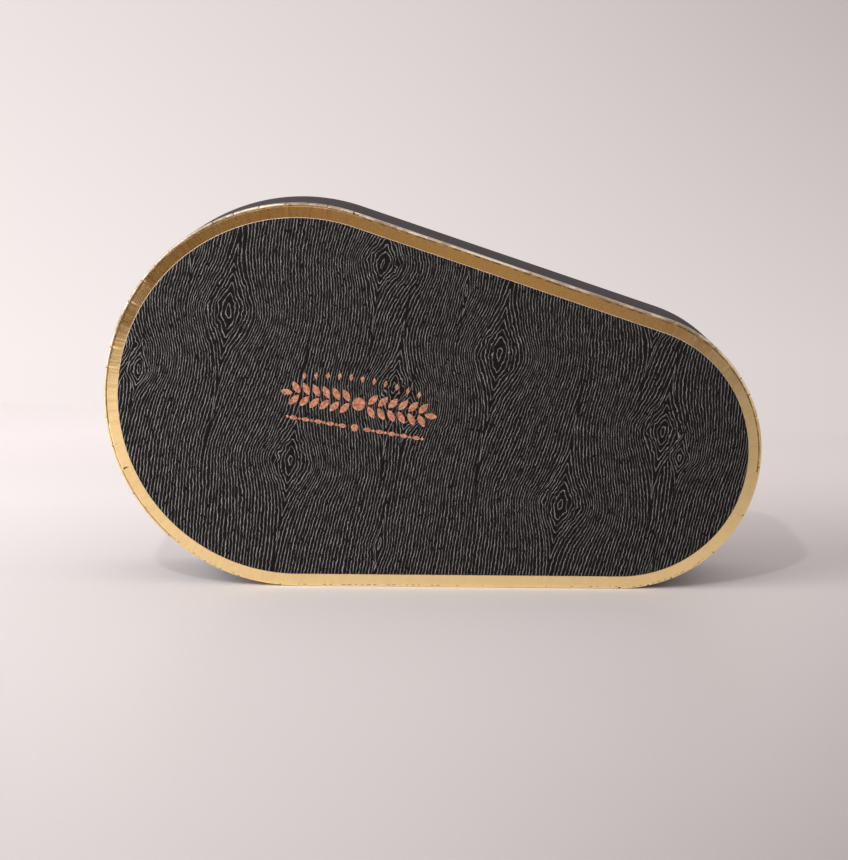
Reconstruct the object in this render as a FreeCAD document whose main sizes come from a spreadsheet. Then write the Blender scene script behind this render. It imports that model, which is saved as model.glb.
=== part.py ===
"""Rigid paperboard chocolate box with an egg-shaped outline: a full-depth lid over an inner base with dividers.

The box stands on the flat side of its outline. X runs along that side, Y from the lid's face (front)
to the base's underside (back), and Z is up. The origin is the middle of the box's foot. Millimetres.
"""

import FreeCAD, Part, Sketcher
import math
import os

from FreeCAD import Vector

doc = FreeCAD.newDocument("chocolate_box")

# Driving dimensions
SIZES = [
    ("big_radius", 70.0, "outside radius of the large round end"),
    ("small_radius", 51.0, "outside radius of the small round end"),
    ("flat_length", 118.0, "straight side that the box stands on, between the two round ends"),
    ("box_depth", 51.0, "front of the face panel to the underside of the base"),
    ("border_width", 4.8, "gold border left bare round the face panel"),
    ("panel_thickness", 0.5, "embossed face panel"),
    ("paper_thickness", 0.3, "cover papers and linings"),
    ("plate_thickness", 2.0, "flat boards of the lid's top and the base's bottom"),
    ("wall_thickness", 1.5, "bent board strips of the lid's and the base's walls"),
    ("gold_flange", 3.0, "depth of the gold cover's turned-down edge"),
    ("fold_radius", 0.55, "outside radius of the gold cover's fold"),
    ("turn_in", 12.0, "wall papers folded over the open edges"),
    ("lid_clearance", 0.5, "gap between the base and the lid's lined wall"),
    ("seat_gap", 0.3, "gap between the base's rim and the lid's lined top"),
    ("skirt_setback", 1.0, "the lid's skirt ends this short of the base's underside"),
    ("divider_headroom", 7.0, "the dividers stop this short of the base's rim"),
    ("divider_thickness", 0.8, "card of the divider strips"),
    ("divider_end_gap", 0.3, "gap between a divider's end and the lined wall"),
    ("slot_clearance", 0.2, "spare width of a divider's slot, and spare depth where two slots meet"),
]
ROWS = 4
COLUMNS = 7

sheet = doc.addObject("Spreadsheet::Sheet", "Sizes")
for row, (alias, value, meaning) in enumerate(SIZES, start=1):
    sheet.set(f"A{row}", meaning)
    sheet.set(f"B{row}", str(value))
    sheet.setAlias(f"B{row}", alias)

# Insets from the outline, places along the depth and the dividers' own axis, all worked out from the sheet
LAYOUT = [
    ("board_inset", "Sizes.paper_thickness"),
    ("lining_inset", "Layout.board_inset + Sizes.wall_thickness"),
    ("lid_inside", "Layout.lining_inset + Sizes.paper_thickness"),
    ("base_outside", "Layout.lid_inside + Sizes.lid_clearance"),
    ("base_board_inset", "Layout.base_outside + Sizes.paper_thickness"),
    ("base_lining_inset", "Layout.base_board_inset + Sizes.wall_thickness"),
    ("base_inside", "Layout.base_lining_inset + Sizes.paper_thickness"),
    ("front", "-Sizes.box_depth / 2"),
    ("gold_front", "Layout.front + Sizes.panel_thickness"),
    ("plate_front", "Layout.gold_front + Sizes.paper_thickness"),
    ("lid_ceiling", "Layout.plate_front + Sizes.plate_thickness"),
    ("skirt_front", "Layout.gold_front + Sizes.gold_flange"),
    ("rim", "Layout.lid_ceiling + Sizes.paper_thickness + Sizes.seat_gap"),
    ("back", "Sizes.box_depth / 2"),
    ("skirt_back", "Layout.back - Sizes.skirt_setback"),
    ("bottom_back", "Layout.back - Sizes.paper_thickness"),
    ("bottom_front", "Layout.bottom_back - Sizes.plate_thickness"),
    ("floor", "Layout.bottom_front - Sizes.paper_thickness"),
    ("divider_front", "Layout.rim + Sizes.divider_headroom"),
    ("divider_height", "Layout.floor - Layout.divider_front"),
    ("big_x", "(Sizes.big_radius - Sizes.small_radius - Sizes.flat_length) / 2"),
    ("small_x", "Layout.big_x + Sizes.flat_length"),
    ("axis_length", "hypot(Sizes.flat_length; Sizes.big_radius - Sizes.small_radius)"),
    ("axis_tilt", "atan((Sizes.big_radius - Sizes.small_radius) / Sizes.flat_length) / 1 deg"),
    ("big_room", "Sizes.big_radius - Layout.base_inside"),
    ("small_room", "Sizes.small_radius - Layout.base_inside"),
    ("column_pitch", f"(Layout.big_room + Layout.axis_length + Layout.small_room) / {COLUMNS}"),
    ("row_pitch", f"2 * Layout.big_room / {ROWS}"),
    ("slot_width", "Sizes.divider_thickness + Sizes.slot_clearance"),
    ("slot_depth", "(Layout.divider_height + Sizes.slot_clearance) / 2"),
]
layout = doc.addObject("App::VarSet", "Layout")
for name, expression in LAYOUT:
    layout.addProperty("App::PropertyFloat", name)
    layout.setExpression(name, expression)
doc.recompute()


def outline_sketch(body, name, insets, start):
    """A sketch of the box's outline once for each inset: two arcs joined by the straight sides that touch both."""
    sketch = body.newObject("Sketcher::SketchObject", name)
    plane = next(f for f in body.Origin.OriginFeatures if f.Role == "XZ_Plane")
    sketch.AttachmentSupport = [(plane, "")]
    sketch.MapMode = "FlatFace"
    sketch.setExpression("AttachmentOffset.Base.z", f"-({start})")
    big = Vector(layout.big_x, sheet.big_radius, 0)
    small = Vector(layout.small_x, sheet.small_radius, 0)
    up = Vector(0, 0, 1)
    low_turn = -math.pi / 2
    high_turn = math.pi / 2 - 2 * math.radians(layout.axis_tilt)

    def on_circle(centre, radius, angle):
        return centre + Vector(radius * math.cos(angle), radius * math.sin(angle), 0)

    for loop, inset in enumerate(insets):
        depth = body.evalExpression(inset)
        depth = float(getattr(depth, "Value", depth))
        big_r = sheet.big_radius - depth
        small_r = sheet.small_radius - depth
        big_arc, low_side, small_arc, high_side = (4 * loop + k for k in range(4))
        sketch.addGeometry(
            Part.ArcOfCircle(Part.Circle(big, up, big_r), high_turn, low_turn + 2 * math.pi), False
        )
        sketch.addGeometry(
            Part.LineSegment(on_circle(big, big_r, low_turn), on_circle(small, small_r, low_turn)), False
        )
        sketch.addGeometry(Part.ArcOfCircle(Part.Circle(small, up, small_r), low_turn, high_turn), False)
        sketch.addGeometry(
            Part.LineSegment(on_circle(small, small_r, high_turn), on_circle(big, big_r, high_turn)), False
        )
        ring = [big_arc, low_side, small_arc, high_side]
        for first, second in zip(ring, ring[1:] + ring[:1]):
            sketch.addConstraint(Sketcher.Constraint("Tangent", first, 2, second, 1))

        def bind(constraint, expression):
            sketch.setExpression(f"Constraints[{sketch.addConstraint(constraint)}]", expression)

        bind(Sketcher.Constraint("Radius", big_arc, big_r), f"Sizes.big_radius - ({inset})")
        bind(Sketcher.Constraint("Radius", small_arc, small_r), f"Sizes.small_radius - ({inset})")
        if loop == 0:
            bind(Sketcher.Constraint("DistanceX", big_arc, 3, -1, 1, -big.x), "-Layout.big_x")
            bind(Sketcher.Constraint("DistanceY", -1, 1, big_arc, 3, big.y), "Sizes.big_radius")
            bind(Sketcher.Constraint("DistanceX", -1, 1, small_arc, 3, small.x), "Layout.small_x")
            bind(Sketcher.Constraint("DistanceY", -1, 1, small_arc, 3, small.y), "Sizes.small_radius")
        else:
            sketch.addConstraint(Sketcher.Constraint("Coincident", big_arc, 3, 0, 3))
            sketch.addConstraint(Sketcher.Constraint("Coincident", small_arc, 3, 2, 3))
    return sketch


def new_body(label, place):
    """A sub-part, modelled from its own front face and placed along the depth."""
    body = doc.addObject("PartDesign::Body", label)
    body.Label = label
    body.setExpression("Placement.Base.y", place)
    return body


def add_layer(body, name, insets, length, start="0"):
    """Pads the outline towards the back: a sheet with one inset, a ring with two."""
    sketch = outline_sketch(body, f"{name}_outline", insets, start)
    pad = body.newObject("PartDesign::Pad", name)
    pad.Profile = sketch
    pad.Reversed = True
    pad.setExpression("Length", length)
    doc.recompute()
    return pad


def layered_part(label, place, layers):
    """A sub-part made of one or more fused layers, each (name, insets, length, start)."""
    body = new_body(label, place)
    for name, insets, length, start in layers:
        add_layer(body, f"{label}_{name}", insets, length, start)
    return body


parts = []

# Lid: face panel, gold cover, boards, wall paper and linings
parts.append(
    layered_part(
        "lid_grain_panel",
        "Layout.front",
        [("sheet", ["Sizes.border_width"], "Sizes.panel_thickness", "0")],
    )
)

gold_cover = new_body("lid_gold_cover", "Layout.gold_front")
cap = add_layer(gold_cover, "cap", ["0"], "Sizes.gold_flange")
front_edges = [
    f"Edge{n}"
    for n, edge in enumerate(cap.Shape.Edges, start=1)
    if edge.BoundBox.YMax - cap.Shape.BoundBox.YMin < sheet.paper_thickness / 2
]
fold = gold_cover.newObject("PartDesign::Fillet", "fold")
fold.Base = (cap, front_edges)
fold.setExpression("Radius", "Sizes.fold_radius")
doc.recompute()
hollow_outline = outline_sketch(gold_cover, "hollow_outline", ["Layout.board_inset"], "Sizes.paper_thickness")
hollow = gold_cover.newObject("PartDesign::Pocket", "hollow")
hollow.Profile = hollow_outline
hollow.setExpression("Length", "Sizes.gold_flange")
doc.recompute()
parts.append(gold_cover)

parts.append(
    layered_part(
        "lid_top_board",
        "Layout.plate_front",
        [("plate", ["Layout.board_inset"], "Sizes.plate_thickness", "0")],
    )
)
parts.append(
    layered_part(
        "lid_wall_board",
        "Layout.lid_ceiling",
        [
            (
                "strip",
                ["Layout.board_inset", "Layout.lining_inset"],
                "Layout.skirt_back - Sizes.paper_thickness - Layout.lid_ceiling",
                "0",
            )
        ],
    )
)
SKIRT = "(Layout.skirt_back - Layout.skirt_front)"
parts.append(
    layered_part(
        "lid_wall_paper",
        "Layout.skirt_front",
        [
            ("sleeve", ["0", "Layout.board_inset"], SKIRT, "0"),
            ("edge", ["0", "Layout.lid_inside"], "Sizes.paper_thickness", f"{SKIRT} - Sizes.paper_thickness"),
            (
                "turn_in",
                ["Layout.lining_inset", "Layout.lid_inside"],
                "Sizes.turn_in",
                f"{SKIRT} - Sizes.turn_in",
            ),
        ],
    )
)
parts.append(
    layered_part(
        "lid_top_lining",
        "Layout.lid_ceiling",
        [("sheet", ["Layout.lining_inset"], "Sizes.paper_thickness", "0")],
    )
)
parts.append(
    layered_part(
        "lid_wall_lining",
        "Layout.lid_ceiling + Sizes.paper_thickness",
        [
            (
                "strip",
                ["Layout.lining_inset", "Layout.lid_inside"],
                "Layout.skirt_back - Sizes.turn_in - Layout.lid_ceiling - Sizes.paper_thickness",
                "0",
            )
        ],
    )
)

# Base: boards, wall paper turned over the rim, underside paper and linings
parts.append(
    layered_part(
        "base_bottom_board",
        "Layout.bottom_front",
        [("plate", ["Layout.base_board_inset"], "Sizes.plate_thickness", "0")],
    )
)
parts.append(
    layered_part(
        "base_wall_board",
        "Layout.rim + Sizes.paper_thickness",
        [
            (
                "strip",
                ["Layout.base_board_inset", "Layout.base_lining_inset"],
                "Layout.bottom_front - Layout.rim - Sizes.paper_thickness",
                "0",
            )
        ],
    )
)
parts.append(
    layered_part(
        "base_wall_paper",
        "Layout.rim",
        [
            ("sleeve", ["Layout.base_outside", "Layout.base_board_inset"], "Layout.bottom_back - Layout.rim", "0"),
            ("edge", ["Layout.base_outside", "Layout.base_inside"], "Sizes.paper_thickness", "0"),
            ("turn_in", ["Layout.base_lining_inset", "Layout.base_inside"], "Sizes.turn_in", "0"),
        ],
    )
)
parts.append(
    layered_part(
        "base_bottom_paper",
        "Layout.bottom_back",
        [("sheet", ["Layout.base_outside"], "Sizes.paper_thickness", "0")],
    )
)
parts.append(
    layered_part(
        "base_bottom_lining",
        "Layout.floor",
        [("sheet", ["Layout.base_lining_inset"], "Sizes.paper_thickness", "0")],
    )
)
parts.append(
    layered_part(
        "base_wall_lining",
        "Layout.rim + Sizes.turn_in",
        [
            (
                "strip",
                ["Layout.base_lining_inset", "Layout.base_inside"],
                "Layout.floor - Layout.rim - Sizes.turn_in",
                "0",
            )
        ],
    )
)

# Dividers: card strips along and across the outline's own axis, halved into each other and cut to the lined wall
room = layered_part(
    "divider_room",
    "Layout.divider_front",
    [("space", ["Layout.base_inside + Sizes.divider_end_gap"], "Layout.divider_height", "0")],
)


def tilted_box(name, along, across, length, width, front, depth):
    """A block centred on a point of the outline's axis: along from the large end's centre, across from the axis."""
    box = doc.addObject("Part::Box", name)
    box.setExpression("Length", length)
    box.setExpression("Width", depth)
    box.setExpression("Height", width)
    box.Placement.Rotation = FreeCAD.Rotation(Vector(0, 1, 0), 1)
    box.setExpression("Placement.Rotation.Angle", "Layout.axis_tilt * 1 deg")
    near = f"({along} - ({length}) / 2)"
    low = f"({across} - ({width}) / 2)"
    tilt = "(Layout.axis_tilt * 1 deg)"
    box.setExpression("Placement.Base.x", f"Layout.big_x + {near} * cos{tilt} + {low} * sin{tilt}")
    box.setExpression("Placement.Base.y", front)
    box.setExpression("Placement.Base.z", f"Sizes.big_radius - {near} * sin{tilt} + {low} * cos{tilt}")
    return box


def divider(label, strip, slots):
    """A card strip cut to the lined wall, with its slots taken out."""
    cut_to_wall = doc.addObject("Part::Common", f"{label}_cut_to_wall")
    cut_to_wall.Base = strip
    cut_to_wall.Tool = room
    all_slots = doc.addObject("Part::MultiFuse", f"{label}_slots")
    all_slots.Shapes = slots
    card = doc.addObject("Part::Cut", label)
    card.Label = label
    card.Base = cut_to_wall
    card.Tool = all_slots
    return card


CARD = "Sizes.divider_thickness"
LONG = "2 * (Layout.axis_length + Sizes.big_radius + Sizes.small_radius)"
HIGH = "2 * Sizes.big_radius"
column_places = [f"(Layout.column_pitch * {n} - Layout.big_room)" for n in range(1, COLUMNS)]
row_places = [f"(Layout.row_pitch * {n} - Layout.big_room)" for n in range(1, ROWS)]
MOUTH = "Layout.divider_front - Layout.divider_height / 2"
MOUTH_DEPTH = "Layout.divider_height / 2 + Layout.slot_depth"
HALF_WAY = "Layout.floor - Layout.slot_depth"
FOOT_DEPTH = "Layout.slot_depth + Layout.divider_height / 2"
SLOT_REACH = "3 * Sizes.divider_thickness"

for n, place in enumerate(row_places, start=1):
    label = f"long_divider_{n}"
    strip = tilted_box(f"{label}_card", "0", place, LONG, CARD, "Layout.divider_front", "Layout.divider_height")
    slots = [
        tilted_box(f"{label}_slot_{k}", column, place, "Layout.slot_width", SLOT_REACH, MOUTH, MOUTH_DEPTH)
        for k, column in enumerate(column_places, start=1)
    ]
    parts.append(divider(label, strip, slots))

for n, place in enumerate(column_places, start=1):
    label = f"cross_divider_{n}"
    strip = tilted_box(f"{label}_card", place, "0", CARD, HIGH, "Layout.divider_front", "Layout.divider_height")
    slots = [
        tilted_box(f"{label}_slot_{k}", place, row, SLOT_REACH, "Layout.slot_width", HALF_WAY, FOOT_DEPTH)
        for k, row in enumerate(row_places, start=1)
    ]
    parts.append(divider(label, strip, slots))

doc.recompute()

# Checks and files
for item in doc.Objects:
    if "Invalid" in item.State or "Error" in item.State:
        raise SystemExit(f"{item.Label} failed: {item.State}")

os.makedirs("parts", exist_ok=True)
for part in parts:
    shape = part.Shape
    if shape.isNull() or not shape.isValid() or len(shape.Solids) != 1:
        raise SystemExit(f"{part.Label} has no single valid solid")
    shape.exportStep(f"parts/{part.Label}.step")
    box = shape.BoundBox
    print(
        f"{part.Label:20s} {shape.Volume:10.1f} mm3"
        f"  x {box.XMin:8.2f} {box.XMax:8.2f}  y {box.YMin:8.2f} {box.YMax:8.2f}  z {box.ZMin:8.2f} {box.ZMax:8.2f}"
    )
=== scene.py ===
import math
import random

import bpy
from mathutils import Matrix, Vector


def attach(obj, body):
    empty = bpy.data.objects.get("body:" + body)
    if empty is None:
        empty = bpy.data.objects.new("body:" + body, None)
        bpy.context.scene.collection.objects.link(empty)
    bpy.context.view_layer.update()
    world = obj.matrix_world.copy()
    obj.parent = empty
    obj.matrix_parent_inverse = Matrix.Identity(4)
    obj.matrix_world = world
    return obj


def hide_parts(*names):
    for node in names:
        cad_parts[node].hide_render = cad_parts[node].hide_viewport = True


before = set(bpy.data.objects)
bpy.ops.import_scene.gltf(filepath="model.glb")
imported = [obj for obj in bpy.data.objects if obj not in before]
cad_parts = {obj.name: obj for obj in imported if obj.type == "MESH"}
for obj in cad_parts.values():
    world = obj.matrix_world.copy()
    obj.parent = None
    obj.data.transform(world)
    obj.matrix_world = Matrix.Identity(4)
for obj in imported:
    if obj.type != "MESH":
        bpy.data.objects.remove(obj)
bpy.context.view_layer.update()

# Grey boards of the base and the lid: two flat plates and two bent wall strips.
# Recycled pulp board, die cut, bent round a former and taped where the ends meet, before the papers go on.
# Only their edges could ever show, so the CAD shapes stay and get a speckled pulp finish.
MM = 0.001
BOARD_DARK = (0.16, 0.15, 0.135, 1)
BOARD_PALE = (0.34, 0.32, 0.29, 1)
PULP_WAVES = (0.9, 0.9, 0.9)
PULP_CONTRAST = (0.3, 0.7)
PULP_RELIEF = 0.12


class Tone:
    """One output in a finish. Arithmetic on it adds Math nodes to that finish."""

    def __init__(self, finish, link):
        self.finish = finish
        self.link = link

    def math(self, operation, *rest):
        return self.finish.node("ShaderNodeMath", {"operation": operation}, [self, *rest])

    def __add__(self, other):
        return self.math("ADD", other)

    __radd__ = __add__

    def __sub__(self, other):
        return self.math("SUBTRACT", other)

    def __rsub__(self, other):
        return self.finish.node("ShaderNodeMath", {"operation": "SUBTRACT"}, [other, self])

    def __mul__(self, other):
        return self.math("MULTIPLY", other)

    __rmul__ = __mul__

    def __truediv__(self, other):
        return self.math("DIVIDE", other)

    def __rtruediv__(self, other):
        return self.finish.node("ShaderNodeMath", {"operation": "DIVIDE"}, [other, self])

    def __abs__(self):
        return self.math("ABSOLUTE")

    def above(self, low, high):
        """0 under low, 1 over high, and an even S between them."""
        settings = {"interpolation_type": "SMOOTHSTEP"}
        return self.finish.node("ShaderNodeMapRange", settings, [self, low, high, 0.0, 1.0])

    def within(self, least, most):
        """The same value, held between two limits."""
        return self.math("MAXIMUM", least).math("MINIMUM", most)


class Finish:
    """A Principled material, or the world's light, made of nodes."""

    def __init__(self, name, owner=None, **even):
        self.material = owner or bpy.data.materials.new(name)
        self.material.use_nodes = True
        self.tree = self.material.node_tree
        self.tree.nodes.clear()
        self.spot = None
        kind = "World" if owner else "Material"
        out = self.tree.nodes.new(f"ShaderNodeOutput{kind}")
        self.shader = self.tree.nodes.new("ShaderNodeBackground" if owner else "ShaderNodeBsdfPrincipled")
        self.tree.links.new(self.shader.outputs[0], out.inputs["Surface"])
        self.give(**{key.replace("_", " "): value for key, value in even.items()})

    def feed(self, socket, value):
        if isinstance(value, Tone):
            self.tree.links.new(value.link, socket)
        else:
            socket.default_value = value

    def give(self, **sockets):
        for key, value in sockets.items():
            self.feed(self.shader.inputs[key], value)

    def node(self, kind, settings, inputs, output=0):
        made = self.tree.nodes.new(kind)
        for key, value in settings.items():
            setattr(made, key, value)
        pairs = inputs.items() if isinstance(inputs, dict) else enumerate(inputs)
        for key, value in pairs:
            self.feed(made.inputs[key], value)
        return Tone(self, made.outputs[output])

    def parts(self, vector):
        return [self.node("ShaderNodeSeparateXYZ", {}, [vector], axis) for axis in range(3)]

    def place(self):
        """The point's x, y and z in millimetres, in the box's own frame."""
        if self.spot is None:
            point = self.node("ShaderNodeTexCoord", {}, [], "Object")
            inputs = {0: point, "Scale": 1 / MM}
            self.spot = self.parts(self.node("ShaderNodeVectorMath", {"operation": "SCALE"}, inputs))
        return self.spot

    def cloud(self, x, y, z, detail=2.0, rough=0.5):
        """Smooth noise from 0 to 1."""
        where = self.node("ShaderNodeCombineXYZ", {}, [x, y, z])
        inputs = {"Vector": where, "Scale": 1.0, "Detail": detail, "Roughness": rough}
        return self.node("ShaderNodeTexNoise", {"noise_dimensions": "3D"}, inputs)

    def mottle(self, waves, detail=2.0, rough=0.5):
        """A cloud with these counts of waves to the millimetre along x, y and z."""
        x, y, z = (axis * count for axis, count in zip(self.place(), waves))
        return self.cloud(x, y, z, detail, rough)

    def blend(self, share, first, second):
        """From the first colour to the second."""
        return self.node("ShaderNodeMix", {"data_type": "RGBA"}, {0: share, 6: first, 7: second}, 2)

    def relief(self, height):
        """Bumps of the given height in millimetres."""
        inputs = {"Height": height, "Distance": MM, "Strength": 1.0}
        self.give(Normal=self.node("ShaderNodeBump", {}, inputs))


def dress(finish, *nodes):
    """Gives CAD nodes a finish."""
    for node in nodes:
        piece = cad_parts[node]
        for slot in piece.material_slots:
            slot.material = finish.material


grey_board = Finish("grey_board", Roughness=0.92)
pulp = grey_board.mottle(PULP_WAVES, detail=5.0, rough=0.7)
grey_board.give(**{"Base Color": grey_board.blend(pulp.above(*PULP_CONTRAST), BOARD_DARK, BOARD_PALE)})
grey_board.relief(pulp * PULP_RELIEF)
dress(grey_board, "base_bottom_board", "base_wall_board", "lid_top_board", "lid_wall_board")

# Dark cover papers of the base: one round the wall and over its rim, one glued flat under the bottom.
# Through-dyed matt paper with a faint felt mark, laid on with glue and rubbed down.
PAPER_DARK = (0.040, 0.035, 0.038, 1)
PAPER_PALE = (0.066, 0.058, 0.062, 1)
PAPER_CONTRAST = (0.25, 0.75)
FELT_WAVES = (1.6, 1.6, 1.6)
FELT_RELIEF = 0.03
BASE_FELT_SHARE = 0.7
BASE_PATCH_WAVES = (0.03, 0.03, 0.03)


def dyed_paper(name, felt_share, patch_waves):
    """A finish of the dark paper and its tone, from the felt mark and larger patches."""
    finish = Finish(name, Roughness=0.9, Specular_IOR_Level=0.12)
    felt = finish.mottle(FELT_WAVES, detail=4.0, rough=0.6)
    patches = finish.mottle(patch_waves)
    shade = (felt * felt_share + patches * (1 - felt_share)).above(*PAPER_CONTRAST)
    finish.relief(felt * FELT_RELIEF)
    return finish, finish.blend(shade, PAPER_DARK, PAPER_PALE)


dark_paper, paper_tone = dyed_paper("dark_paper", BASE_FELT_SHARE, BASE_PATCH_WAVES)
dark_paper.give(**{"Base Color": paper_tone})
dress(dark_paper, "base_wall_paper", "base_bottom_paper")

# Linings of the base and the lid: ivory paper glued inside, on the flat boards and round the walls.
# Uncoated stock, so the fibres show as a soft cloudiness.
LINING_DEEP = (0.62, 0.54, 0.42, 1)
LINING_PALE = (0.76, 0.69, 0.57, 1)
FIBRE_WAVES = (0.5, 0.5, 1.4)
FIBRE_CONTRAST = (0.25, 0.75)
FIBRE_RELIEF = 0.04
lining_paper = Finish("lining_paper", Roughness=0.8)
fibres = lining_paper.mottle(FIBRE_WAVES, detail=5.0, rough=0.65)
lining_tone = lining_paper.blend(fibres.above(*FIBRE_CONTRAST), LINING_DEEP, LINING_PALE)
lining_paper.give(**{"Base Color": lining_tone})
lining_paper.relief(fibres * FIBRE_RELIEF)
dress(lining_paper, "base_bottom_lining", "base_wall_lining", "lid_top_lining", "lid_wall_lining")

# Divider strips: gilt card cut with half-depth slots and pushed into each other to make the compartments.
# The card is printed in a satin old gold, a little rubbed, with a faint machine streak along each strip.
CARD_DEEP = (0.40, 0.26, 0.09, 1)
CARD_PALE = (0.60, 0.43, 0.18, 1)
CARD_STREAK_WAVES = (0.25, 2.5, 0.25)
CARD_STREAK_CONTRAST = (0.3, 0.7)
CARD_STREAK_RELIEF = 0.02
CARD_RUB_WAVES = (0.12, 0.12, 0.12)
CARD_ROUGH = 0.32
CARD_RUB_ROUGH = 0.25
divider_card = Finish("divider_card", Metallic=0.55)
streak = divider_card.mottle(CARD_STREAK_WAVES, detail=3.0)
rubbed = divider_card.mottle(CARD_RUB_WAVES, detail=3.0)
divider_card.give(
    **{
        "Base Color": divider_card.blend(streak.above(*CARD_STREAK_CONTRAST), CARD_DEEP, CARD_PALE),
        "Roughness": CARD_ROUGH + rubbed * CARD_RUB_ROUGH,
    }
)
divider_card.relief(streak * CARD_STREAK_RELIEF)
dividers = [f"long_divider_{n}" for n in range(1, 4)] + [f"cross_divider_{n}" for n in range(1, 7)]
dress(divider_card, *dividers)

# Paper round the lid's wall: one long strip of the dark paper, laid on behind the gold edge.
# It is lapped at a seam on the standing side, folded over the open edge and turned in.
BIG_RADIUS = 70.0
SMALL_RADIUS = 51.0
FLAT_SIDE = 118.0
BIG_X = (BIG_RADIUS - SMALL_RADIUS - FLAT_SIDE) / 2
SMALL_X = BIG_X + FLAT_SIDE
TILT = math.atan2(BIG_RADIUS - SMALL_RADIUS, FLAT_SIDE)
HALF_DEPTH = 25.5
# thicknesses of the face panel, the papers and the wall's board
PANEL = 0.5
PAPER = 0.3
WALL_BOARD = 1.5
# how far the gold is folded down, and the strip turned in
FLANGE = 3.0
TURN_IN = 12.0
SKIRT_SETBACK = 1.0
SKIRT_FRONT = -HALF_DEPTH + PANEL + FLANGE
SKIRT_BACK = HALF_DEPTH - SKIRT_SETBACK
SEAM_AT = 62.0
SEAM_WIDTH = 0.5
SEAM_DEPTH = 0.12
WALL_STEP = 1.2
SHARP_EDGE = math.radians(40)
# soft front edge of the strip, then the rounds of its fold: inset and distance from the strip's edge
FRONT_EDGE = [(0.06, 0.02), (0.0, 0.15)]
FOLD_LAPPED = [(0.0, 0.55), (0.06, 0.25)]
FOLD_OVER = [(0.22, 0.06), (0.5, 0.0)]
FOLD_INSIDE = [(-0.2, 0.0), (0.1, 0.06), (0.24, 0.25), (PAPER, 0.55)]


def outline(step):
    """Stations round the box's outline from the flat side's start.

    Each is x, z, outward normal in x and z, length so far and part of the outline.
    """
    low = -math.pi / 2
    high = math.pi / 2 - 2 * TILT
    stations = []
    along = 0.0
    arcs = {
        "small end": (SMALL_X, SMALL_RADIUS, low, high),
        "big end": (BIG_X, BIG_RADIUS, high, 2 * math.pi + low),
    }
    sides = {
        "flat side": (BIG_X, BIG_RADIUS, SMALL_X, SMALL_RADIUS, low),
        "top side": (SMALL_X, SMALL_RADIUS, BIG_X, BIG_RADIUS, high),
    }
    for part in ("flat side", "small end", "top side", "big end"):
        length = FLAT_SIDE if part in sides else arcs[part][1] * (arcs[part][3] - arcs[part][2])
        count = round(length / step)
        for k in range(count):
            share = k / count
            if part in sides:
                x0, r0, x1, r1, turn = sides[part]
                x = x0 + (x1 - x0) * share
                radius = r0 + (r1 - r0) * share
            else:
                x, radius, start, end = arcs[part]
                turn = start + (end - start) * share
            nx = math.cos(turn)
            nz = math.sin(turn)
            # both ends stand on the floor, so a centre is as high as its radius
            stations.append((x + radius * nx, radius + radius * nz, nx, nz, along + length * share, part))
        along += length
    return stations


def sweep(name, finishes, stations, profile, capped=False, pick=None):
    """A skin whose section, given as (inset, depth) points for each station, runs round the outline."""
    rings = [profile(station) for station in stations]
    width = len(rings[0])
    points = []
    for (x, z, nx, nz, along, part), ring in zip(stations, rings):
        points += [((x - nx * inset) * MM, depth * MM, (z - nz * inset) * MM) for inset, depth in ring]
    count = len(stations)
    strips = width - 1 if capped else width
    faces = []
    for i in range(count):
        here = i * width
        there = (i + 1) % count * width
        for j in range(strips):
            k = (j + 1) % width
            faces.append((here + j, here + k, there + k, there + j))
    if capped:
        faces.append([i * width for i in range(count)])
        faces.append([i * width + width - 1 for i in reversed(range(count))])
    mesh = bpy.data.meshes.new(name)
    mesh.from_pydata(points, [], faces)
    mesh.shade_smooth()
    mesh.set_sharp_from_angle(angle=SHARP_EDGE)
    for finish in finishes:
        mesh.materials.append(finish.material)
    if pick:
        for face in mesh.polygons[: count * strips]:
            face.material_index = pick(stations[face.index // strips], face.index % strips)
    piece = bpy.data.objects.new(name, mesh)
    bpy.context.scene.collection.objects.link(piece)
    return piece


def wall_paper_section(station):
    along = station[4]
    lap = SEAM_DEPTH * max(0.0, 1 - abs(along - SEAM_AT) / SEAM_WIDTH)
    inner = PAPER + WALL_BOARD
    section = [(inset + lap, SKIRT_FRONT + behind) for inset, behind in FRONT_EDGE]
    section += [(inset + lap, SKIRT_BACK - before) for inset, before in FOLD_LAPPED]
    section += [(inset, SKIRT_BACK - before) for inset, before in FOLD_OVER]
    section += [(inner + inset, SKIRT_BACK - before) for inset, before in FOLD_INSIDE]
    section.append((inner + PAPER, SKIRT_BACK - TURN_IN))
    section.append((inner, SKIRT_BACK - TURN_IN))
    section.append((inner, SKIRT_BACK - PAPER))
    section.append((PAPER, SKIRT_BACK - PAPER))
    section.append((PAPER, SKIRT_FRONT + FRONT_EDGE[0][1]))
    return section


RUBBED = (0.15, 0.135, 0.135, 1)
RUBBED_MOST = 0.7
WALL_FELT_SHARE = 0.6
WALL_PATCH_WAVES = (0.04, 0.04, 0.04)
SCUFF_WAVES = (0.35, 0.9, 0.35)
EDGE_SCUFF = (0.42, 0.66)
STRAY_SCUFF = (0.70, 0.76)
STRAY_SHARE = 0.35
RIM_RUB_WIDTH = 1.3
FRONT_RUB_WIDTH = 0.7
FRONT_RUB_SHARE = 0.6
wall_finish, paper_tone = dyed_paper("lid_wall_paper", WALL_FELT_SHARE, WALL_PATCH_WAVES)
x, y, z = wall_finish.place()
scuff = wall_finish.mottle(SCUFF_WAVES, detail=5.0, rough=0.7)
rim = y.above(SKIRT_BACK - RIM_RUB_WIDTH, SKIRT_BACK)
rim = rim + (1 - y.above(SKIRT_FRONT, SKIRT_FRONT + FRONT_RUB_WIDTH)) * FRONT_RUB_SHARE
rubbed = rim * scuff.above(*EDGE_SCUFF) + scuff.above(*STRAY_SCUFF) * STRAY_SHARE
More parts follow.
